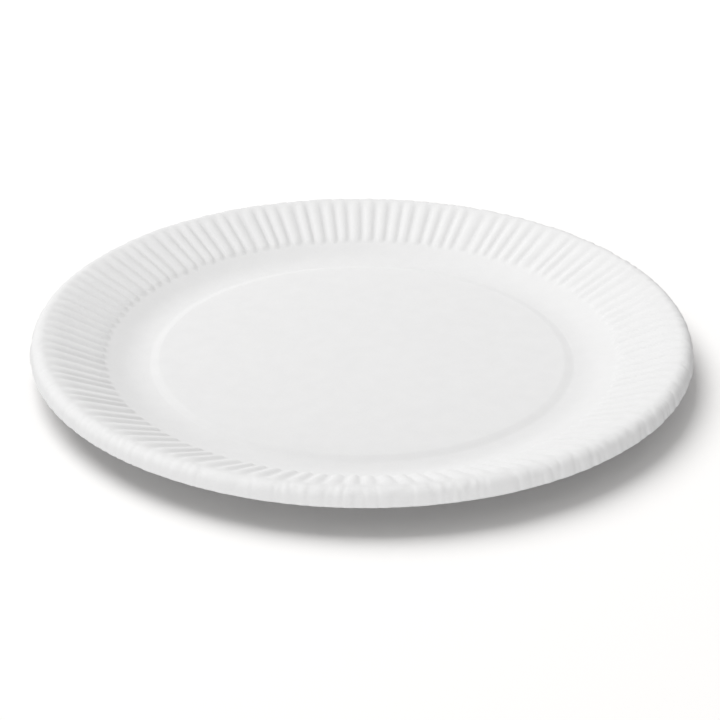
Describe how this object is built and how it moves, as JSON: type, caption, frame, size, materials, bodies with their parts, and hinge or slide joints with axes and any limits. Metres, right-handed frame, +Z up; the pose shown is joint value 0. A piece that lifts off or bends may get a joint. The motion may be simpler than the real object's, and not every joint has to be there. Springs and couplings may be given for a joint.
{
  "type": "paper plate",
  "caption": "Shallow round disposable plate pressed from white paperboard, with a flat raised centre, a fluted sloping wall and a rolled rim, for serving food.",
  "frame": {"origin": "centre of the base, at the level of the ring that the plate rests on", "axes": "+Z up, square to the plate's flat centre; the plate is round, so X and Y lie anywhere in its plane"},
  "size_m": [0.23, 0.23, 0.0141],
  "materials": {
    "paperboard": "matt uncoated white board with a fine fibre texture"
  },
  "bodies": {
    "root": {"plate": "paperboard"}
  },
  "joints": []
}
